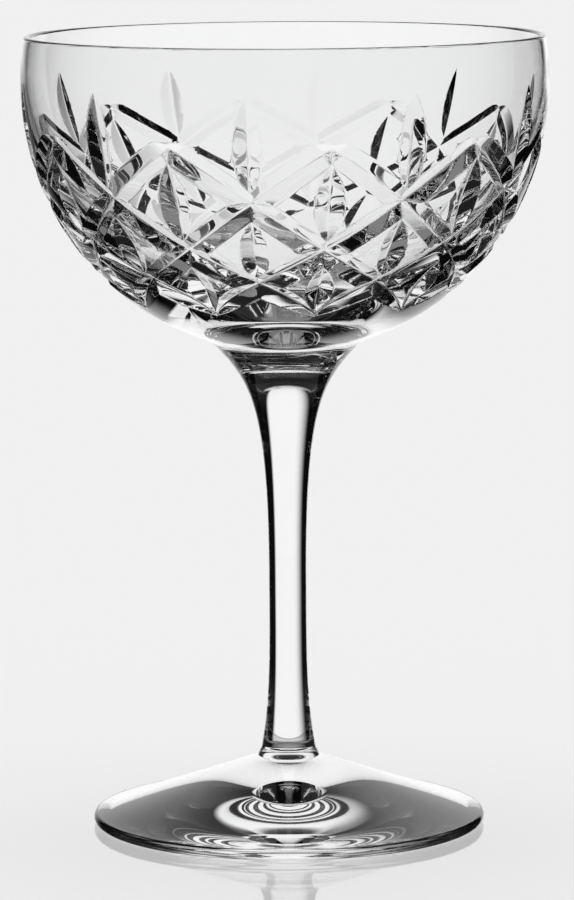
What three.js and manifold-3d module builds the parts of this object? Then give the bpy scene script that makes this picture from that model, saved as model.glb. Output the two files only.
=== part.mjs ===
import * as THREE from 'three';
import { mergeVertices } from 'three/addons/utils/BufferGeometryUtils.js';
import Module from 'manifold-3d';

// A stemmed sherbet glass in cut crystal: bowl, drawn stem and foot, fused one on the other.
// Millimetres, +Z up, origin at the middle of the plane the foot rests on, front towards -Y.

const overallHeight = 144.5;

// Bowl: its outside is an ellipsoid cut off at the rim; its inside is a second one, a little
// fuller towards the bottom, with a shallow pit over the stem.
const bowlHeight = 57;
const bowlRadius = 47.83;
const rimAboveWidest = 8.58;
const rimAboveInsideWidest = 7.5;
const bowlWall = 1.2;
const bowlFloor = 7.8;
const insideFullness = 0.358;
const pitDepth = 2.8;
const pitRadius = 10.88;
const rimRoundHeight = 0.6;

// Between the ellipsoid and the fused face below it the bowl narrows on a short cone.
const neckWidth = 2.2;
const neckRise = 1.81;

// Stem: the two fused ends, the collar's top, the waist, and the control points of the curves between.
const bowlJointRadius = 12.42;
const footJointRadius = 5.63;
const collarRadius = 4.65;
const collarRise = 3.45;
const collarLowBend = { radius: 4.79, rise: 2.36 };
const collarHighBend = { radius: 5.21, rise: 0.08 };
const waistRadius = 3.43;
const waistRise = 33.4;
const taperLowBend = { radius: 3.24, rise: 8.49 };
const taperHighDrop = 10.48;
const flareLowDrop = 10.2;
const flareHighBend = { radius: 6.85, drop: 6.2 };

// Foot: a shallow cone with a rounded edge, hollowed below so that it stands on a flat ring.
const footHeight = 12.2;
const footRadius = 35.95;
const footEdgeThickness = 2;
const footEdgeRound = 0.86;
const footConeSag = 0.62;
const footSagPlace = 0.144;
const restingRing = 2.2;
const hollowHeight = 3.6;
const hollowPower = 1.5;

// Cuts in the bowl's outside: a lattice of crossed mitre cuts with upright leaf cuts between.
// Their rows are angles of the outer ellipse, in degrees below its widest ring.
const cutRepeats = 10;
const firstLeafTurn = -8;
const latticeTop = 10.5;
const highCrossing = 22.55;
const middleCrossing = 34.4;
const lowCrossing = 44;
const latticeBottom = 53.8;
const latticeWidth = 4.6;
const latticeFaceTilt = 28;
const leafFaceTilt = 27;
const cutOverrun = 0.12;
const cutLift = 0.9;
const upperLeaf = { top: -0.65, bottom: 21.4, width: 4.8, halfStep: 0 };
const highDiamondLeaf = { top: 13.5, bottom: 32, width: 5.2, halfStep: 1 };
const middleDiamondLeaf = { top: 26.4, bottom: 41.8, width: 5, halfStep: 0 };
const lowDiamondLeaf = { top: 38.1, bottom: 53.5, width: 4.8, halfStep: 1 };
const leafCuts = [upperLeaf, highDiamondLeaf, middleDiamondLeaf, lowDiamondLeaf];

// Facets used for the turned surfaces and the cuts.
const bowlOutsideSides = 50;
const bowlInsideSides = 40;
const stemSides = 28;
const footSides = 56;
const outsideSteps = 13;
const insideSteps = 13;
const rimSteps = 3;
const collarSteps = 4;
const taperSteps = 6;
const flareSteps = 10;
const hollowSteps = 6;
const footEdgeSteps = 6;
const footConeSteps = 6;
const latticeSteps = 12;
const leafSteps = 6;

// Heights and sizes that follow from the ones above.
const radians = THREE.MathUtils.degToRad;
const bowlJointHeight = overallHeight - bowlHeight;
const widestHeight = overallHeight - rimAboveWidest;
const neckRadius = bowlJointRadius + neckWidth;
const neckHeight = bowlJointHeight + neckRise;
const bowlDrop = (widestHeight - neckHeight) / Math.sqrt(1 - (neckRadius / bowlRadius) ** 2);
const insideRadius = bowlRadius - bowlWall;
const insideWidestHeight = overallHeight - rimAboveInsideWidest;
const insideBottom = bowlJointHeight + bowlFloor;
const insideDrop = insideWidestHeight - insideBottom;
const rimRoundStart = overallHeight - rimRoundHeight;
const waistHeight = footHeight + waistRise;
const repeatAngle = 2 * Math.PI / cutRepeats;

const wasm = await Module();
wasm.setup();

const point = (radius, height) => new THREE.Vector2(radius, height);

// Vertices shared by position only, without the empty triangles at the turning axis.
function closedMesh(geometry) {
  const bare = new THREE.BufferGeometry();
  bare.setAttribute('position', geometry.getAttribute('position'));
  bare.setIndex(geometry.getIndex());
  const merged = mergeVertices(bare, 1e-5);
  const old = merged.getIndex().array;
  const kept = [];
  for (let i = 0; i < old.length; i += 3) {
    const [a, b, c] = [old[i], old[i + 1], old[i + 2]];
    if (a !== b && b !== c && c !== a) kept.push(a, b, c);
  }
  merged.setIndex(kept);
  return merged;
}

// Turns a profile, given from the axis outwards, upwards and back to the axis, once round Z.
function turned(profile, sides) {
  const geometry = new THREE.LatheGeometry(profile, sides);
  geometry.rotateX(Math.PI / 2);
  const position = geometry.getAttribute('position');
  for (let i = 0; i < position.count; i += 1) {
    if (Math.hypot(position.getX(i), position.getY(i)) < 1e-6) position.setXY(i, 0, 0);
  }
  return closedMesh(geometry);
}

function toSolid(geometry) {
  const vertProperties = new Float32Array(geometry.getAttribute('position').array);
  const triVerts = new Uint32Array(geometry.getIndex().array);
  return new wasm.Manifold(new wasm.Mesh({ numProp: 3, vertProperties, triVerts }));
}

function fromSolid(solid) {
  const mesh = solid.getMesh();
  const geometry = new THREE.BufferGeometry();
  const positions = new Float32Array(mesh.vertProperties);
  geometry.setAttribute('position', new THREE.BufferAttribute(positions, 3));
  geometry.setIndex(new THREE.BufferAttribute(new Uint32Array(mesh.triVerts), 1));
  return geometry;
}

// Points of a half ellipse below and above its widest ring, from one height up to another.
function ellipseArc(radius, drop, widest, fromHeight, toHeight, steps) {
  const first = Math.asin((widest - fromHeight) / drop);
  const last = Math.asin((widest - toHeight) / drop);
  const points = [];
  for (let i = 0; i <= steps; i += 1) {
    const angle = first + (last - first) * i / steps;
    points.push(point(radius * Math.cos(angle), widest - drop * Math.sin(angle)));
  }
  return points;
}

// Points of the inside from its bottom up to the rim: an ellipse whose power grows by insideFullness
// from the widest ring down to the bottom, less the pit.
function insideCurve() {
  const last = Math.asin((insideWidestHeight - rimRoundStart) / insideDrop);
  const points = [];
  for (let i = 0; i <= insideSteps; i += 1) {
    const angle = Math.PI / 2 + (last - Math.PI / 2) * i / insideSteps;
    const share = Math.max(angle, 0) / (Math.PI / 2);
    const power = 2 / (2 + insideFullness * share ** 2);
    const radius = insideRadius * Math.abs(Math.cos(angle)) ** power;
    const fall = insideDrop * Math.sign(angle) * Math.abs(Math.sin(angle)) ** power;
    const pit = pitDepth * Math.exp(-((radius / pitRadius) ** 2));
    points.push(point(radius, insideWidestHeight - fall - pit));
  }
  return points;
}

// Points of the rounded rim from one wall up to its crown.
function rimArc(wallRadius, crownRadius) {
  const points = [];
  for (let i = 1; i <= rimSteps; i += 1) {
    const angle = Math.PI / 2 * i / rimSteps;
    const radius = crownRadius + (wallRadius - crownRadius) * Math.cos(angle);
    points.push(point(radius, rimRoundStart + rimRoundHeight * Math.sin(angle)));
  }
  return points;
}

// The uncut bowl: the outside up to the crown of the rim, less the inside.
function bowlBlank() {
  const outsideArc = ellipseArc(bowlRadius, bowlDrop, widestHeight, neckHeight, rimRoundStart, outsideSteps);
  const insideArc = insideCurve();
  const rimOutside = outsideArc[outsideSteps].x;
  const rimInside = insideArc[insideSteps].x;
  const crownRadius = (rimOutside + rimInside) / 2;
  const outside = [
    point(0, bowlJointHeight),
    point(bowlJointRadius, bowlJointHeight),
    ...outsideArc,
    ...rimArc(rimOutside, crownRadius),
    point(0, overallHeight),
  ];
  insideArc[0].x = 0;
  const inside = [
    ...insideArc,
    ...rimArc(rimInside, crownRadius),
    point(crownRadius, overallHeight + rimRoundHeight),
    point(0, overallHeight + rimRoundHeight),
  ];
  return toSolid(turned(outside, bowlOutsideSides)).subtract(toSolid(turned(inside, bowlInsideSides)));
}

// A point of the bowl's outside at a turn from the front (to the right) and an angle below the widest ring.
function onBowl(turn, below) {
  const radius = bowlRadius * Math.cos(below);
  return new THREE.Vector3(radius * Math.sin(turn), -radius * Math.cos(turn), widestHeight - bowlDrop * Math.sin(below));
}

function bowlNormal(at) {
  const across = bowlRadius ** 2;
  const along = bowlDrop ** 2;
  return new THREE.Vector3(at.x / across, at.y / across, (at.z - widestHeight) / along).normalize();
}

// A V-shaped cutter carried along a path on the bowl: deepest in the middle, lifted clear at both ends.
function vCutter(path, depths, faceTilt) {
  const spread = 1 / Math.tan(radians(faceTilt));
  const vertices = [];
  const faces = [];
  const last = path.length - 1;
  path.forEach((at, i) => {
    const normal = bowlNormal(at);
    const along = path[Math.min(i + 1, last)].clone().sub(path[Math.max(i - 1, 0)]);
    const side = along.cross(normal).normalize();
    const half = (depths[i] + cutLift) * spread;
    const top = at.clone().addScaledVector(normal, cutLift);
    const bottom = at.clone().addScaledVector(normal, -depths[i]);
    const left = top.clone().addScaledVector(side, -half);
    const right = top.clone().addScaledVector(side, half);
    vertices.push(...bottom.toArray(), ...right.toArray(), ...left.toArray());
  });
  for (let i = 0; i < last; i += 1) {
    for (let k = 0; k < 3; k += 1) {
      const a = 3 * i + k;
      const b = 3 * i + (k + 1) % 3;
      faces.push(a, b + 3, b, a, a + 3, b + 3);
    }
  }
  faces.push(0, 1, 2, 3 * last, 3 * last + 2, 3 * last + 1);
  const geometry = new THREE.BufferGeometry();
  geometry.setAttribute('position', new THREE.Float32BufferAttribute(vertices, 3));
  geometry.setIndex(faces);
  return toSolid(geometry);
}

const depthFor = (width, faceTilt) => width / 2 * Math.tan(radians(faceTilt));

// Each lattice cut runs from the top row to the bottom row, half a repeat of turn per row.
const latticeRows = [latticeTop, highCrossing, middleCrossing, lowCrossing, latticeBottom];
const rowCurve = new THREE.SplineCurve(latticeRows.map((below, row) => point(row, radians(below))));

function latticeCutter(startTurn, direction) {
  const depth = depthFor(latticeWidth, latticeFaceTilt);
  const path = [];
  const depths = [];
  for (let i = 0; i <= latticeSteps; i += 1) {
    const share = i / latticeSteps;
    const row = rowCurve.getPoint(share);
    path.push(onBowl(startTurn + direction * row.x * repeatAngle / 2, row.y));
    depths.push((depth + cutOverrun) * (1 - (2 * share - 1) ** 4) - cutOverrun);
  }
  return vCutter(path, depths, latticeFaceTilt);
}

function leafCutter(leaf, turn) {
  const depth = depthFor(leaf.width, leafFaceTilt);
  const path = [];
  const depths = [];
  for (let i = 0; i <= leafSteps; i += 1) {
    const share = i / leafSteps;
    path.push(onBowl(turn, radians(leaf.top + (leaf.bottom - leaf.top) * share)));
    depths.push((depth + cutOverrun) * (1 - (2 * share - 1) ** 2) - cutOverrun);
  }
  return vCutter(path, depths, leafFaceTilt);
}

function cutBowl() {
  let bowl = bowlBlank();
  for (let i = 0; i < cutRepeats; i += 1) {
    const turn = radians(firstLeafTurn) + i * repeatAngle;
    bowl = bowl.subtract(latticeCutter(turn + repeatAngle / 2, 1));
    bowl = bowl.subtract(latticeCutter(turn + repeatAngle / 2, -1));
    for (const leaf of leafCuts) {
      bowl = bowl.subtract(leafCutter(leaf, turn + leaf.halfStep * repeatAngle / 2));
    }
  }
  return fromSolid(bowl);
}

function stemProfile() {
  const collarHeight = footHeight + collarRise;
  const collar = new THREE.CubicBezierCurve(
    point(footJointRadius, footHeight),
    point(collarLowBend.radius, footHeight + collarLowBend.rise),
    point(collarHighBend.radius, footHeight + collarHighBend.rise),
    point(collarRadius, collarHeight),
  );
  const taper = new THREE.CubicBezierCurve(
    point(collarRadius, collarHeight),
    point(taperLowBend.radius, collarHeight + taperLowBend.rise),
    point(waistRadius, waistHeight - taperHighDrop),
    point(waistRadius, waistHeight),
  );
  const flare = new THREE.CubicBezierCurve(
    point(waistRadius, waistHeight),
    point(waistRadius, bowlJointHeight - flareLowDrop),
    point(flareHighBend.radius, bowlJointHeight - flareHighBend.drop),
    point(bowlJointRadius, bowlJointHeight),
  );
  return [
    point(0, footHeight),
    ...collar.getPoints(collarSteps),
    ...taper.getPoints(taperSteps).slice(1),
    ...flare.getPoints(flareSteps).slice(1),
    point(0, bowlJointHeight),
  ];
}

function footProfile() {
  const edgeMiddle = footRadius - footEdgeRound;
  const hollowRadius = edgeMiddle - restingRing;
  const profile = [];
  for (let i = 0; i < hollowSteps; i += 1) {
    const share = i / hollowSteps;
    profile.push(point(hollowRadius * share, hollowHeight * (1 - share ** hollowPower)));
  }
  profile.push(point(hollowRadius, 0), point(edgeMiddle, 0));
  for (let i = 1; i <= footEdgeSteps; i += 1) {
    const angle = Math.PI * i / footEdgeSteps - Math.PI / 2;
    const height = footEdgeThickness / 2 * (1 + Math.sin(angle));
    profile.push(point(edgeMiddle + footEdgeRound * Math.cos(angle), height));
  }
  const outer = point(edgeMiddle, footEdgeThickness);
  const inner = point(footJointRadius, footHeight);
  const bend = outer.clone().lerp(inner, footSagPlace).sub(point(0, footConeSag));
  const cone = new THREE.QuadraticBezierCurve(outer, bend, inner);
  profile.push(...cone.getPoints(footConeSteps).slice(1), point(0, footHeight));
  return profile;
}

function piece(name, geometry, colour, roughness) {
  geometry.computeVertexNormals();
  const material = new THREE.MeshStandardMaterial({ color: colour, roughness, metalness: 0 });
  const mesh = new THREE.Mesh(geometry, material);
  mesh.name = name;
  return mesh;
}

const glass = new THREE.Group();
glass.name = 'sherbet_glass';
glass.add(piece('bowl', cutBowl(), 0xe9f0f0, 0.04));
glass.add(piece('stem', turned(stemProfile(), stemSides), 0xe4ecec, 0.04));
glass.add(piece('foot', turned(footProfile(), footSides), 0xe4ecec, 0.05));

export default glass;
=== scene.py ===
import math

import bpy
import numpy as np
from mathutils import Matrix


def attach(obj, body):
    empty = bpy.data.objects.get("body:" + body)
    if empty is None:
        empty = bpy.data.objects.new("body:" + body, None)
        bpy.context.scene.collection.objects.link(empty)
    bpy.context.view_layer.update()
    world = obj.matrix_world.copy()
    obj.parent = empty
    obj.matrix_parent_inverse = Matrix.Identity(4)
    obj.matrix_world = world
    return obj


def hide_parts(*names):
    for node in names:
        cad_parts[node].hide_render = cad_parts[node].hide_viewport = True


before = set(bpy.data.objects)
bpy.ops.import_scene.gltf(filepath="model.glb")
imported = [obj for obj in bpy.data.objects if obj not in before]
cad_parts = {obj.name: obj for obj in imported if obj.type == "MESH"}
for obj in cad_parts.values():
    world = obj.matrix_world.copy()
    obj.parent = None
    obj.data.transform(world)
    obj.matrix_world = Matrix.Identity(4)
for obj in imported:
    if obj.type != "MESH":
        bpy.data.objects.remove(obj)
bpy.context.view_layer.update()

mm = 0.001
scene = bpy.context.scene
scene.view_settings.view_transform = "Standard"
cycles = scene.cycles  # light crosses many faces in cut glass, so it may bounce often
cycles.max_bounces = cycles.transmission_bounces = 32
cycles.glossy_bounces, cycles.diffuse_bounces, cycles.transparent_max_bounces = 16, 4, 24
print("frame loaded:", sorted(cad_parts))


class Wire:
    # one shader socket: + - * / ** add Math nodes, make() adds any other node
    def __init__(self, tree, socket=None):
        self.tree, self.socket = tree, socket

    def make(self, kind, settings={}, inputs={}, output=0):
        node = self.tree.nodes.new(kind)
        for name, value in settings.items():
            if name == "stops":  # a ramp's stops: place and grey level
                ramp = node.color_ramp
                while len(ramp.elements) < len(value):
                    ramp.elements.new(0.5)
                for element, (place, level) in zip(ramp.elements, value):
                    element.position, element.color = place, (level, level, level, 1)
            else:
                setattr(node, name, value)
        for name, value in inputs.items():
            if isinstance(value, Wire):
                self.tree.links.new(value.socket, node.inputs[name])
            else:
                node.inputs[name].default_value = value
        return Wire(self.tree, node.outputs[output]) if len(node.outputs) else node

    def calc(self, operation, first, second):
        return self.make("ShaderNodeMath", {"operation": operation}, {0: first, 1: second})

    def grey(self, level):
        return self.make("ShaderNodeCombineColor", inputs={0: level, 1: level, 2: level})

    def __add__(self, other): return self.calc("ADD", self, other)
    def __radd__(self, other): return self.calc("ADD", other, self)
    def __sub__(self, other): return self.calc("SUBTRACT", self, other)
    def __rsub__(self, other): return self.calc("SUBTRACT", other, self)
    def __mul__(self, other): return self.calc("MULTIPLY", self, other)
    def __rmul__(self, other): return self.calc("MULTIPLY", other, self)
    def __truediv__(self, other): return self.calc("DIVIDE", self, other)
    def __rtruediv__(self, other): return self.calc("DIVIDE", other, self)
    def __pow__(self, other): return self.calc("POWER", self, other)
    def __rpow__(self, other): return self.calc("POWER", other, self)


def newMaterial(name):
    material = bpy.data.materials.new(name)
    material.use_nodes = True
    material.node_tree.nodes.clear()
    return material, Wire(material.node_tree)


# clear crystal, with a faint ripple left by the polishing and a trace of haze in patches
crystal = {"ior": 1.53, "clear": (1.0, 1.0, 1.0, 1), "deep": (0.985, 0.99, 0.99, 1),
           "rippleScale": 55.0, "rippleDetail": 1.0, "rippleHeight": 0.00001, "rippleStrength": 0.35,
           "cloudScale": 23.0, "cloudDetail": 2.0, "hazeFrom": 0.5, "hazeTo": 0.75,
           "polish": 0.0, "haze": 0.003, "shiftWay": (1.0, 0.7, 0.3)}


def crystalMaterial(name, shift):
    # each piece reads the same noise from another place, shift metres along shiftWay
    material, wire = newMaterial(name)
    place = wire.make("ShaderNodeTexCoord", output="Object")
    moved = wire.make("ShaderNodeMapping", inputs={
        "Vector": place, "Location": tuple(shift * way for way in crystal["shiftWay"])})
    ripple = wire.make("ShaderNodeTexNoise", inputs={
        "Vector": moved, "Scale": crystal["rippleScale"], "Detail": crystal["rippleDetail"]})
    cloud = wire.make("ShaderNodeTexNoise", inputs={
        "Vector": moved, "Scale": crystal["cloudScale"], "Detail": crystal["cloudDetail"]})
    tint = wire.make("ShaderNodeMix", {"data_type": "RGBA"},
                     {"Factor": cloud, "A": crystal["clear"], "B": crystal["deep"]}, output=2)
    smear = wire.make("ShaderNodeValToRGB", {"stops": [(crystal["hazeFrom"], 0.0), (crystal["hazeTo"], 1.0)]},
                      {"Fac": cloud})
    wave = wire.make("ShaderNodeBump", inputs={
        "Strength": crystal["rippleStrength"], "Distance": crystal["rippleHeight"], "Height": ripple})
    body = wire.make("ShaderNodeBsdfPrincipled", inputs={
        "Base Color": tint, "Roughness": smear * crystal["haze"] + crystal["polish"], "IOR": crystal["ior"],
        "Transmission Weight": 1.0, "Normal": wave})
    wire.make("ShaderNodeOutputMaterial", inputs={"Surface": body})
    return material


def fusedMaterial():
    # where two pieces were joined hot there is no surface left, so light passes straight on
    material, wire = newMaterial("fused_face")
    through = wire.make("ShaderNodeBsdfTransparent")
    wire.make("ShaderNodeOutputMaterial", inputs={"Surface": through})
    return material


fusedFace = fusedMaterial()


def meshObject(name, verts, faces, materials):
    mesh = bpy.data.meshes.new(name)
    mesh.from_pydata(verts.tolist(), [], faces)
    for material in materials:
        mesh.materials.append(material)
    obj = bpy.data.objects.new(name, mesh)
    scene.collection.objects.link(obj)
    return obj


# a profile (radius, height) carried once round Z: x = r sin u, y = -r cos u, z = h;
# the first and last profile points lie on the axis and close the solid
def turnedSolid(name, profile, sides, materials):
    profile = np.asarray(profile) * mm
    u = np.arange(sides) * 2 * np.pi / sides
    ring = profile[1:-1]
    rows = len(ring)
    grid = np.stack([ring[:, :1] * np.sin(u), -ring[:, :1] * np.cos(u), np.repeat(ring[:, 1:], sides, 1)], -1)
    low, high = rows * sides, rows * sides + 1
    verts = np.concatenate([grid.reshape(-1, 3), [[0, 0, profile[0, 1]], [0, 0, profile[-1, 1]]]])
    i = np.arange(rows - 1)[:, None] * sides
    k, nextK = np.arange(sides), (np.arange(sides) + 1) % sides
    quads = np.stack([i + k, i + nextK, i + sides + nextK, i + sides + k], -1).reshape(-1, 4)
    top = (rows - 1) * sides
    fans = np.concatenate([np.stack([nextK, k, np.full(sides, low)], -1),
                           np.stack([top + k, top + nextK, np.full(sides, high)], -1)])
    return meshObject(name, verts, quads.tolist() + fans.tolist(), materials)


def bezier(points, steps):
    # three or four control points, weighted by the terms of ((1 - t) + t) to the power of two or three
    points = np.asarray(points, float)
    t = np.linspace(0, 1, steps)[:, None]
    if len(points) == 3:
        return (1 - t) ** 2 * points[0] + 2 * t * (1 - t) * points[1] + t ** 2 * points[2]
    return ((1 - t) ** 3 * points[0] + 3 * t * (1 - t) ** 2 * points[1]
            + 3 * t ** 2 * (1 - t) * points[2] + t ** 3 * points[3])


def smoothByAngle(obj, degrees):
    obj.data.shade_smooth()
    obj.data.set_sharp_from_angle(angle=math.radians(degrees))


def markFused(obj, heights):
    # flat faces lying in a joint plane get the see-through finish, the second material of each piece
    mesh = obj.data
    centre = np.empty(len(mesh.polygons) * 3)
    normal = np.empty(len(mesh.polygons) * 3)
    mesh.polygons.foreach_get("center", centre)
    mesh.polygons.foreach_get("normal", normal)
    z, upright = centre[2::3], np.abs(normal[2::3])
    flat = np.zeros(len(z), bool)
    for height in heights:
        flat |= (np.abs(z - height * mm) < 1e-6) & (upright > 0.999)
    mesh.polygons.foreach_set("material_index", flat.astype(np.int32))


# lengths in mm, heights above the table
bowl = {"rim": 144.5, "widest": 135.92, "radius": 47.83, "drop": 48.95, "joint": 87.5, "jointRadius": 12.42,
        "insideWidest": 137.0, "insideRadius": 46.63, "insideBottom": 95.3, "insideFuller": 0.358,
        "pitDepth": 2.8, "pitRadius": 10.88, "rimRound": 0.6, "neckFrom": 16.0, "flare": 0.882,
        "neckSteps": 14, "rimSteps": 15, "insideSteps": 70, "shift": 0.0}
# rows are degrees below the widest ring, and so are a leaf's top and bottom;
# a leaf also has its width, the tilt of its faces, and 1 where it stands half a repeat on
cuts = {"repeats": 10, "firstTurn": -8.0, "rows": (10.48, 22.5, 34.32, 43.9, 53.63),
        "latticeWidth": 4.6, "latticeTilt": 28.0, "latticeLead": 0.06, "latticeRise": 0.22,
        "latticeEnd": 4.03, "latticeFall": 1.0, "wheelRound": 0.15, "polish": 0.08,
        "leaves": [(-0.65, 21.37, 4.8, 24.0, 0), (13.46, 31.96, 5.2, 27.0, 1),
                   (26.3, 41.73, 5.0, 27.0, 0), (38.02, 53.32, 4.8, 27.0, 1)],
        "turnPoints": 7, "rowPoints": 25, "endPoints": 11, "triangles": 7400}
lastRow = len(cuts["rows"]) - 1
belowFit = np.polyfit(np.arange(lastRow + 1), np.radians(cuts["rows"]), lastRow)
belowSlope = np.polyder(belowFit)


# the wall before cutting is an ellipsoid: r = radius cos b, z = widest - drop sin b,
# b the angle below the widest ring; rows count the lattice crossings down the wall,
# on one smooth curve, and straight on past the first and the last
def belowOfRow(row):
    held = np.clip(row, 0, lastRow)
    return np.polyval(belowFit, held) + (row - held) * np.polyval(belowSlope, held)


def rowOfBelow(below):
    # the same the other way, read from a fine table
    rows = np.linspace(-lastRow, 2 * lastRow, 4801)
    return float(np.interp(below, belowOfRow(rows), rows))


def wallPoint(turn, below):
    r = bowl["radius"] * np.cos(below)
    return np.stack([r * np.sin(turn), -r * np.cos(turn), bowl["widest"] - bowl["drop"] * np.sin(below)], -1)


def wallNormal(p):
    # the slope of (x/radius)^2 + (y/radius)^2 + ((z - widest)/drop)^2, made one long
    n = p * (1 / bowl["radius"] ** 2, 1 / bowl["radius"] ** 2, 1 / bowl["drop"] ** 2)
    n[..., 2] -= bowl["widest"] / bowl["drop"] ** 2
    return n / np.linalg.norm(n, axis=-1, keepdims=True)


def softDeeper(first, second):
    # the deeper of two cuts, with the edge between them polished round
    near = np.clip(cuts["polish"] - np.abs(first - second), 0, None) / cuts["polish"]
    return np.maximum(first, second) + near ** 2 * cuts["polish"] / 4


def wedge(depth, away, tilt):
    # a V with a slightly round bottom: depth on the path, rising with the distance from it
    r = cuts["wheelRound"]
    return depth - math.tan(math.radians(tilt)) * (np.sqrt(away ** 2 + r ** 2) - r)


def cutDepth(turn, row):
    # the deepest of all cuts at a place: two lattice cuts, one leaning each way, and the leaves;
    # a leaf's depth is a parabola from its top to its bottom
    step = 2 * math.pi / cuts["repeats"]
    part = (turn - math.radians(cuts["firstTurn"])) / step
    below = belowOfRow(row)
    held = np.clip(row, 0, lastRow)
    around = bowl["radius"] * np.cos(below)
    steep = np.hypot(bowl["radius"] * np.sin(below), bowl["drop"] * np.cos(below))
    down = steep * np.polyval(belowSlope, held)
    across = around * step / 2  # one row of a lattice path: so far down, so far across
    length = np.hypot(down, across)
    total = np.zeros(np.shape(row))
    full = cuts["latticeWidth"] / 2 * math.tan(math.radians(cuts["latticeTilt"]))
    for way in (1, -1):
        phase = part - 0.5 - way * row / 2
        off = (phase - np.round(phase)) * step * around
        along = row + way * off * across / length ** 2
        start = np.clip(1 - (along + cuts["latticeLead"]) / cuts["latticeRise"], 0, 2)
        end = np.clip((along - cuts["latticeEnd"]) / cuts["latticeFall"] + 1, 0, 2)
        depth = full * (1 - start ** 2 - end ** 3)
        total = softDeeper(total, wedge(depth, off * down / length, cuts["latticeTilt"]))
    for top, bottom, width, tilt, half in cuts["leaves"]:
        phase = part - 0.5 * half
        off = (phase - np.round(phase)) * step * around
        share = (np.degrees(below) - top) / (bottom - top)
        depth = width / 2 * math.tan(math.radians(tilt)) * (1 - (2 * share - 1) ** 2)
        total = softDeeper(total, wedge(depth, off, tilt))
    return total


def cutPoint(place):
    # the wall's point, sunk by the cut's depth along the wall's normal
    p = wallPoint(place[:, 0], belowOfRow(place[:, 1]))
    return p - cutDepth(place[:, 0], place[:, 1])[:, None] * wallNormal(p)


def cutNormal(place):
    # across the two directions that a little step in turn and in row gives
    little = 2e-4
    acrossWay = cutPoint(place + (little, 0)) - cutPoint(place - (little, 0))
    downWay = cutPoint(place + (0, little)) - cutPoint(place - (0, little))
    n = np.cross(downWay, acrossWay)
    return n / np.linalg.norm(n, axis=1, keepdims=True)


# half of one repeat as triangles over (turn, row), halved again and again where the surface
# strays most from flat; the first diagonals lie along the lattice, so its bottom lines stay straight
class HalvedSheet:
    def __init__(self, turns, rows):
        self.place = [(turn, row) for row in rows for turn in turns]
        self.corners, self.owners, self.made = {}, {}, 0
        wide = len(turns)
        for j in range(len(rows) - 1):
            for i in range(wide - 1):
                a = j * wide + i
                b, c, d = a + 1, a + wide, a + wide + 1
                for corner in ([(b, d, a), (c, a, d)] if (i + j) % 2 == 0 else [(a, b, c), (d, c, b)]):
                    self.add(corner)

    def sides(self, corner):
        return [tuple(sorted((corner[k], corner[k - 1]))) for k in range(3)]

    def add(self, corner):
        self.corners[self.made] = corner
        for side in self.sides(corner):
            self.owners.setdefault(side, set()).add(self.made)
        self.made += 1

    def longSide(self, key):
        return tuple(sorted(self.corners[key][1:]))

    def halve(self, key):
        # the triangle over the same long side is halved with it, after its own neighbours where need be
        if key not in self.corners:
            return
        side = self.longSide(key)
        for other in self.owners[side] - {key}:
            if self.longSide(other) != side:
                self.halve(other)
        middle = len(self.place)
        self.place.append(tuple((np.array(self.place[side[0]]) + self.place[side[1]]) / 2))
        for owner in sorted(self.owners[side]):
            newest, b, c = corner = self.corners.pop(owner)
            for each in self.sides(corner):
                self.owners[each].discard(owner)
            self.add((middle, newest, b))
            self.add((middle, c, newest))

    def refine(self, limit):
        # how far the surface strays is read at each triangle's middle and at the middles of its sides
        while len(self.corners) < limit:
            keys = np.array(list(self.corners))
            corner = np.array(list(self.corners.values()))
            place = np.array(self.place)
            point = cutPoint(place)
            off = [cutPoint(place[corner].mean(1)) - point[corner].mean(1)]
            for a, b in ((0, 1), (1, 2), (2, 0)):
                flat = (point[corner[:, a]] + point[corner[:, b]]) / 2
                off.append(cutPoint((place[corner[:, a]] + place[corner[:, b]]) / 2) - flat)
            worst = np.linalg.norm(off, axis=2).max(0)
            share = max(8, min(len(keys) // 6, (limit - len(keys)) // 3))
            for key in keys[np.argsort(-worst, kind="stable")[:share]].tolist():
                self.halve(key)
        return np.array(self.place), np.array(list(self.corners.values()))


def cutWall(topBelow, bottomBelow):
    # the refined half repeat, turned and mirrored by turns all the way round and joined at its edges
    half = math.pi / cuts["repeats"]
    first = math.radians(cuts["firstTurn"])
    rows = np.concatenate([np.linspace(rowOfBelow(topBelow), 0, cuts["endPoints"])[:-1],
                           np.linspace(0, lastRow, cuts["rowPoints"]),
                           np.linspace(lastRow, rowOfBelow(bottomBelow), cuts["endPoints"])[1:]])
    turns = np.linspace(0, half, cuts["turnPoints"]) + first
    place, corner = HalvedSheet(turns, rows).refine(cuts["triangles"])
    places, corners = [], []
    for k in range(2 * cuts["repeats"]):
        copy = place.copy()
        if k % 2:
            copy[:, 0] = 2 * first - copy[:, 0] + (k + 1) * half
        else:
            copy[:, 0] += k * half
        copy[:, 0] %= 2 * math.pi
        places.append(copy)
        corners.append((corner if k % 2 else corner[:, ::-1]) + k * len(place))
    places = np.concatenate(places)
    fine = 1e7  # places that agree to this fineness are one
    keys = np.round(places * fine).astype(np.int64)
    keys[:, 0] %= round(2 * fine * math.pi)
    _, keep, joined = np.unique(keys, axis=0, return_index=True, return_inverse=True)
    return places[keep], joined.reshape(-1)[np.concatenate(corners)]


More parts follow.
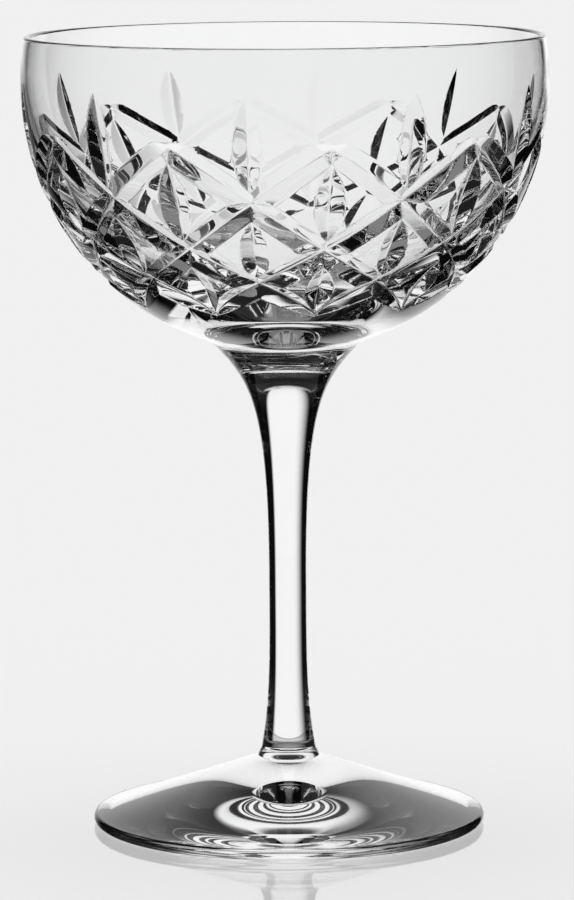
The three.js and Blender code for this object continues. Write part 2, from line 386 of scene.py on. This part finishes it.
def insideCurve(start):
    # r = radius cos(b)^(2/p), z = widest - drop sin(b)^(2/p), where p grows with the square of b
    # from a plain ellipse's 2 at the widest ring, and a small pit in the middle where the stem was drawn out
    drop = bowl["insideWidest"] - bowl["insideBottom"]
    b = np.linspace(math.asin((bowl["insideWidest"] - start) / drop), math.pi / 2, bowl["insideSteps"])
    power = 2 / (2 + bowl["insideFuller"] * (np.maximum(b, 0) / (math.pi / 2)) ** 2)
    r = bowl["insideRadius"] * np.abs(np.cos(b)) ** power
    z = bowl["insideWidest"] - drop * np.sign(b) * np.abs(np.sin(b)) ** power
    r[-1] = 0
    z -= bowl["pitDepth"] * np.exp(-(r / bowl["pitRadius"]) ** 2)
    return np.stack([r, z], 1)


def bowlSections():
    # the turned parts of the section, each from the wall's edge to the axis:
    # neck and joint below, rim (half an ellipse) and inside above
    start = bowl["rim"] - bowl["rimRound"]
    low = math.acos(bowl["neckFrom"] / bowl["radius"])
    edge = np.array([bowl["neckFrom"], bowl["widest"] - bowl["drop"] * math.sin(low)])
    joint = np.array([bowl["jointRadius"], bowl["joint"]])
    slope = bowl["radius"] * math.sin(low) / (bowl["drop"] * math.cos(low))
    gap = edge - joint
    t = (slope * gap[1] - gap[0]) / (slope - bowl["flare"])  # where the slopes of wall and stem meet
    neck = bezier([edge, joint + (bowl["flare"] * t, t), joint], bowl["neckSteps"])
    inside = insideCurve(start)
    outer = bowl["radius"] * math.sqrt(1 - ((bowl["widest"] - start) / bowl["drop"]) ** 2)
    crown, halfWall = (outer + inside[0, 0]) / 2, (outer - inside[0, 0]) / 2
    c = np.linspace(0, np.pi, bowl["rimSteps"])[:-1]
    rim = np.stack([crown + halfWall * np.cos(c), start + bowl["rimRound"] * np.sin(c)], 1)
    return neck, np.concatenate([rim, inside])


# a section turned on from an edge ring of the wall, one ring of points for each section point,
# and a tip on the axis
def turnOn(point, normal, ring, turns, section, tip, facing):
    along = np.gradient(section, axis=0)
    n = np.stack([along[:, 1], -along[:, 0]], 1) * facing
    n /= np.linalg.norm(n, axis=1, keepdims=True)
    rows, wide, base = len(section) - 1, len(ring), len(point)
    spin = np.stack([np.sin(turns), -np.cos(turns)], 1)

    def around(pairs):
        heights = np.repeat(pairs[:, None, 1:], wide, 1)
        return np.concatenate([pairs[:, None, :1] * spin[None], heights], 2).reshape(-1, 3)

    index = np.concatenate([[ring], base + np.arange(rows * wide).reshape(rows, wide)])
    after = np.roll(index, -1, 1)
    a, b, c, d = index[:-1], after[:-1], index[1:], after[1:]
    faces = np.concatenate([np.stack([a, b, d], -1).reshape(-1, 3), np.stack([a, d, c], -1).reshape(-1, 3)])
    fan = np.stack([index[-1], after[-1], np.full(wide, base + rows * wide)], 1)
    if facing < 0:
        faces, fan = faces[:, ::-1], fan[:, ::-1]
    point = np.concatenate([point, around(section[1:]), [[0, 0, tip]]])
    normal = np.concatenate([normal, around(n[1:]), [[0, 0, facing]]])
    return point, normal, faces, fan


def buildBowl():
    start = bowl["rim"] - bowl["rimRound"]
    place, faces = cutWall(math.asin((bowl["widest"] - start) / bowl["drop"]),
                           math.acos(bowl["neckFrom"] / bowl["radius"]))
    point, normal = cutPoint(place), cutNormal(place)
    neck, inside = bowlSections()
    rows = place[:, 1]
    parts = [faces]
    for row, section, tip, facing in ((rows.min(), inside[:-1], inside[-1, 1], 1),
                                      (rows.max(), neck, bowl["joint"], -1)):
        ring = np.where(rows == row)[0]
        ring = ring[np.argsort(place[ring, 0])]
        point, normal, band, fan = turnOn(point, normal, ring, place[ring, 0], section, tip, facing)
        parts += [band, fan]
    faces = np.concatenate(parts)
    corner = normal[faces].reshape(-1, 3)
    corner[-3 * len(parts[-1]):] = (0, 0, -1)  # the joint is flat
    finish = [crystalMaterial("bowl_crystal", bowl["shift"]), fusedFace]
    obj = meshObject("cut_bowl", point * mm, faces.tolist(), finish)
    obj.data.shade_smooth()
    obj.data.normals_split_custom_set(corner.tolist())
    markFused(obj, [bowl["joint"]])
    return obj


# points of the section as (radius, height) in mm, with the pulls of each run between its ends
stem = {"foot": (5.63, 12.2), "collar": [(4.79, 14.56), (5.21, 12.28)],
        "taper": (4.65, 15.65), "pull": [(3.24, 24.14), (3.43, 35.12)],
        "waist": (3.43, 45.6), "rise": [(3.43, 77.3), (6.85, 81.3)], "joint": (12.42, 87.5),
        "sides": 192, "collarSteps": 24, "taperSteps": 50, "riseSteps": 90, "sharpAngle": 35, "shift": 0.31}


def buildStem():
    # three runs of one section: a low collar on the foot, a taper up to the waist,
    # and the drawn flare under the bowl
    collar = bezier([stem["foot"], *stem["collar"], stem["taper"]], stem["collarSteps"])
    taper = bezier([stem["taper"], *stem["pull"], stem["waist"]], stem["taperSteps"])
    rise = bezier([stem["waist"], *stem["rise"], stem["joint"]], stem["riseSteps"])
    profile = np.concatenate([[(0, stem["foot"][1])], collar, taper[1:], rise[1:], [(0, stem["joint"][1])]])
    finish = [crystalMaterial("stem_crystal", stem["shift"]), fusedFace]
    obj = turnedSolid("drawn_stem", profile, stem["sides"], finish)
    smoothByAngle(obj, stem["sharpAngle"])
    markFused(obj, [stem["foot"][1], stem["joint"][1]])
    return obj


foot = {"height": 12.2, "jointRadius": 5.63, "radius": 35.95, "edge": 2.0, "edgeRound": 0.86,
        "sag": 0.616, "sagPlace": 0.144, "ring": 2.2, "hollow": 3.6, "hollowPower": 1.5,
        "sides": 256, "hollowSteps": 50, "edgeSteps": 21, "coneSteps": 50, "sharpAngle": 35, "shift": 0.67}


def buildFoot():
    # top: a cone with a slight sag; edge: half an ellipse; below: a flat ring round a shallow hollow
    # with z = hollow (1 - (r / hollowRadius)^hollowPower)
    edgeMiddle = foot["radius"] - foot["edgeRound"]
    hollowRadius = edgeMiddle - foot["ring"]
    r = np.linspace(0, hollowRadius, foot["hollowSteps"])
    below = np.stack([r, foot["hollow"] * (1 - (r / hollowRadius) ** foot["hollowPower"])], 1)
    below[-1, 1] = 0
    a = np.linspace(-np.pi / 2, np.pi / 2, foot["edgeSteps"])
    edge = np.stack([edgeMiddle + foot["edgeRound"] * np.cos(a), foot["edge"] / 2 * (1 + np.sin(a))], 1)
    outer, inner = np.array([edgeMiddle, foot["edge"]]), np.array([foot["jointRadius"], foot["height"]])
    bend = outer + (inner - outer) * foot["sagPlace"] - (0, foot["sag"])
    cone = bezier([outer, bend, inner], foot["coneSteps"])
    profile = np.concatenate([below, edge, cone[1:], [(0, foot["height"])]])
    finish = [crystalMaterial("foot_crystal", foot["shift"]), fusedFace]
    obj = turnedSolid("round_foot", profile, foot["sides"], finish)
    smoothByAngle(obj, foot["sharpAngle"])
    markFused(obj, [foot["height"]])
    return obj


for build, node in ((buildBowl, "bowl"), (buildStem, "stem"), (buildFoot, "foot")):
    piece = build()
    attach(piece, "root")
    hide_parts(node)
    print("built", piece.name, "with", len(piece.data.polygons), "faces")


def panel(name, corners, material):
    # one flat sheet of four corners that belongs to the stage
    obj = meshObject(name, np.asarray(corners, float), [[0, 1, 2, 3]], [material])
    return obj


def flatGrey(level):
    return (level, level, level, 1)


def smoothRange(wire, value, edge):
    # 0 up to the first edge, 1 from the second on, and smooth between them
    return wire.make("ShaderNodeMapRange", {"interpolation_type": "SMOOTHSTEP"},
                     {"Value": value, "From Min": edge[0], "From Max": edge[1]})


room = {"white": 0.875, "dark": 0.003}  # what the camera sees all round, and what the glass sees there
# metres from here on
table = {"half": 4.0, "drop": 0.0002, "colour": 0.80, "glow": 0.66, "sheet": 0.98, "fade": (0.08, 0.31),
         "ior": 1.5, "grainScale": 90.0, "grainDetail": 3.0, "bodyRough": 0.4, "bodyGrain": 0.2,
         "polishRough": 0.04, "polishGrain": 0.04}


def tableMaterial():
    # a polished pale table close by, and even white further off; seen through the glass it is a clear sheet
    # with the white paper running on below it, dark where one looks steeply down
    material, wire = newMaterial("pale_table")
    place = wire.make("ShaderNodeTexCoord", output="Object")
    away = wire.make("ShaderNodeVectorMath", {"operation": "LENGTH"}, {0: place}, output="Value")
    far = smoothRange(wire, away, table["fade"])
    grain = wire.make("ShaderNodeTexNoise", inputs={
        "Vector": place, "Scale": table["grainScale"], "Detail": table["grainDetail"]})
    seen = wire.make("ShaderNodeLightPath", output="Is Camera Ray")
    body = wire.make("ShaderNodeBsdfPrincipled", inputs={
        "Base Color": flatGrey(table["colour"]), "Roughness": grain * table["bodyGrain"] + table["bodyRough"],
        "Specular IOR Level": 0.0, "Emission Color": flatGrey(table["glow"]), "Emission Strength": 1.0})
    sheet = wire.make("ShaderNodeBsdfTransparent", inputs={"Color": flatGrey(table["sheet"])})
    within = wire.make("ShaderNodeMixShader", inputs={0: seen, 1: sheet, 2: body})
    polishRough = grain * table["polishGrain"] + (table["polishRough"] - table["polishGrain"] / 2)
    polish = wire.make("ShaderNodeBsdfAnisotropic", inputs={"Color": flatGrey(1), "Roughness": polishRough})
    mirror = wire.make("ShaderNodeFresnel", inputs={"IOR": table["ior"]})
    near = wire.make("ShaderNodeMixShader", inputs={0: mirror, 1: within, 2: polish})
    even = wire.make("ShaderNodeEmission", inputs={"Color": flatGrey(room["white"]), "Strength": 1.0})
    both = wire.make("ShaderNodeMixShader", inputs={0: seen * far, 1: near, 2: even})
    wire.make("ShaderNodeOutputMaterial", inputs={"Surface": both})
    return material


half, level = table["half"], -table["drop"]
panel("pale_table", [(-half, -half, level), (half, -half, level), (half, half, level), (-half, half, level)],
      tableMaterial())

# lens and sensor in mm, pitch and roll in degrees
view = {"lens": 197.4, "sensor": 36.0, "nearest": 0.01, "back": 0.893, "rise": 0.1919,
        "pitch": 7.854105, "roll": -0.33}
cameraData = bpy.data.cameras.new("camera")
cameraData.lens, cameraData.sensor_width, cameraData.clip_start = view["lens"], view["sensor"], view["nearest"]
camera = bpy.data.objects.new("camera", cameraData)
scene.collection.objects.link(camera)
camera.matrix_world = (Matrix.Translation((0, -view["back"], view["rise"]))
                       @ Matrix.Rotation(math.pi / 2 - math.radians(view["pitch"]), 4, "X")
                       @ Matrix.Rotation(math.radians(view["roll"]), 4, "Z"))
scene.camera = camera

# left, right, top and low are where the white starts and ends to fade; narrowTo stops short of no width at all
paper = {"white": 1.0, "behind": 0.33, "left": (0.07, 0.28), "right": (0.165, 0.225), "top": (0.26, 0.50),
         "low": (-0.26, -0.13), "round": 1.4, "narrowTo": 0.98}


def paperMaterial():
    # white in the middle, fading softly to the sides, the top and far below the table, and narrowing
    # upwards by (1 - share^round)^(1/round), where share is the height's part of the whole
    material, wire = newMaterial("backdrop_white")
    place = wire.make("ShaderNodeTexCoord", output="Object")
    side = wire.make("ShaderNodeSeparateXYZ", inputs={0: place}, output="X")
    height = wire.make("ShaderNodeSeparateXYZ", inputs={0: place}, output="Z")
    share = wire.make("ShaderNodeMapRange", inputs={
        "Value": height, "From Max": paper["top"][1], "To Max": paper["narrowTo"]})
    out = side / (1 - share ** paper["round"]) ** (1 / paper["round"])
    level = ((1 - smoothRange(wire, 0 - out, paper["left"])) * (1 - smoothRange(wire, out, paper["right"]))
             * (1 - smoothRange(wire, height, paper["top"])) * smoothRange(wire, height, paper["low"]))
    glow = wire.make("ShaderNodeEmission", inputs={"Color": wire.grey(level * paper["white"]), "Strength": 1.0})
    wire.make("ShaderNodeOutputMaterial", inputs={"Surface": glow})
    return material


walls = {"pale": 0.24, "dark": 0.02, "fade": (-0.9, -0.5), "side": 1.2, "front": -1.5, "back": 0.5, "depth": 1.2}


def wallsMaterial():
    # dim walls below the table, a little paler towards the floor
    material, wire = newMaterial("dim_below")
    place = wire.make("ShaderNodeTexCoord", output="Object")
    height = wire.make("ShaderNodeSeparateXYZ", inputs={0: place}, output="Z")
    level = walls["pale"] + smoothRange(wire, height, walls["fade"]) * (walls["dark"] - walls["pale"])
    glow = wire.make("ShaderNodeEmission", inputs={"Color": wire.grey(level), "Strength": 1.0})
    wire.make("ShaderNodeOutputMaterial", inputs={"Surface": glow})
    return material


# the backdrop stays behind the glass as the camera goes round it or higher, as a photographer moves
# the paper for each shot; it stands upright when the camera is where the photograph was taken
rig = bpy.data.objects.new("studio_rig", None)
scene.collection.objects.link(rig)
follow = rig.constraints.new("TRACK_TO")
follow.target, follow.track_axis, follow.up_axis = camera, "TRACK_NEGATIVE_Y", "UP_Z"
upright = Matrix.Rotation(math.atan2(view["rise"], view["back"]), 4, "X")

left, right, low, high = -paper["left"][1], paper["right"][1], paper["low"][0], paper["top"][1]
behind = paper["behind"]
paperCorners = [(left, behind, low), (right, behind, low), (right, behind, high), (left, behind, high)]
backdrop = panel("backdrop", paperCorners, paperMaterial())
dim = wallsMaterial()
side, front, back, floor = walls["side"], walls["front"], walls["back"], -walls["depth"]
wallCorners = {
    "below_left": [(-side, front, floor), (-side, back, floor), (-side, back, 0), (-side, front, 0)],
    "below_right": [(side, front, floor), (side, back, floor), (side, back, 0), (side, front, 0)],
    "below_front": [(-side, front, floor), (side, front, floor), (side, front, 0), (-side, front, 0)],
    "below_floor": [(-side, front, floor), (side, front, floor), (side, back, floor), (-side, back, floor)]}
below = [panel(name, corners, dim) for name, corners in wallCorners.items()]
for obj in [backdrop] + below:
    obj.parent, obj.matrix_parent_inverse = rig, upright
    obj.visible_camera = obj.visible_shadow = obj.visible_diffuse = False

softbox = {"size": 0.5, "place": (0, 0.1, 0.9), "power": 1.5}
lampData = bpy.data.lights.new("top_softbox", "AREA")
lampData.shape, lampData.energy = "RECTANGLE", softbox["power"]
lampData.size = lampData.size_y = softbox["size"]
lamp = bpy.data.objects.new("top_softbox", lampData)
lamp.location = softbox["place"]
lamp.visible_glossy = lamp.visible_transmission = False  # it lights the table alone, not the glass
scene.collection.objects.link(lamp)

world = bpy.data.worlds.new("studio")
world.use_nodes = True
world.node_tree.nodes.clear()
scene.world = world
wire = Wire(world.node_tree)
seen = wire.make("ShaderNodeLightPath", output="Is Camera Ray")
dark = wire.make("ShaderNodeBackground", inputs={"Color": flatGrey(room["dark"]), "Strength": 1.0})
pale = wire.make("ShaderNodeBackground", inputs={"Color": flatGrey(room["white"]), "Strength": 1.0})
both = wire.make("ShaderNodeMixShader", inputs={0: seen, 1: dark, 2: pale})
wire.make("ShaderNodeOutputWorld", inputs={"Surface": both})
print("studio set")
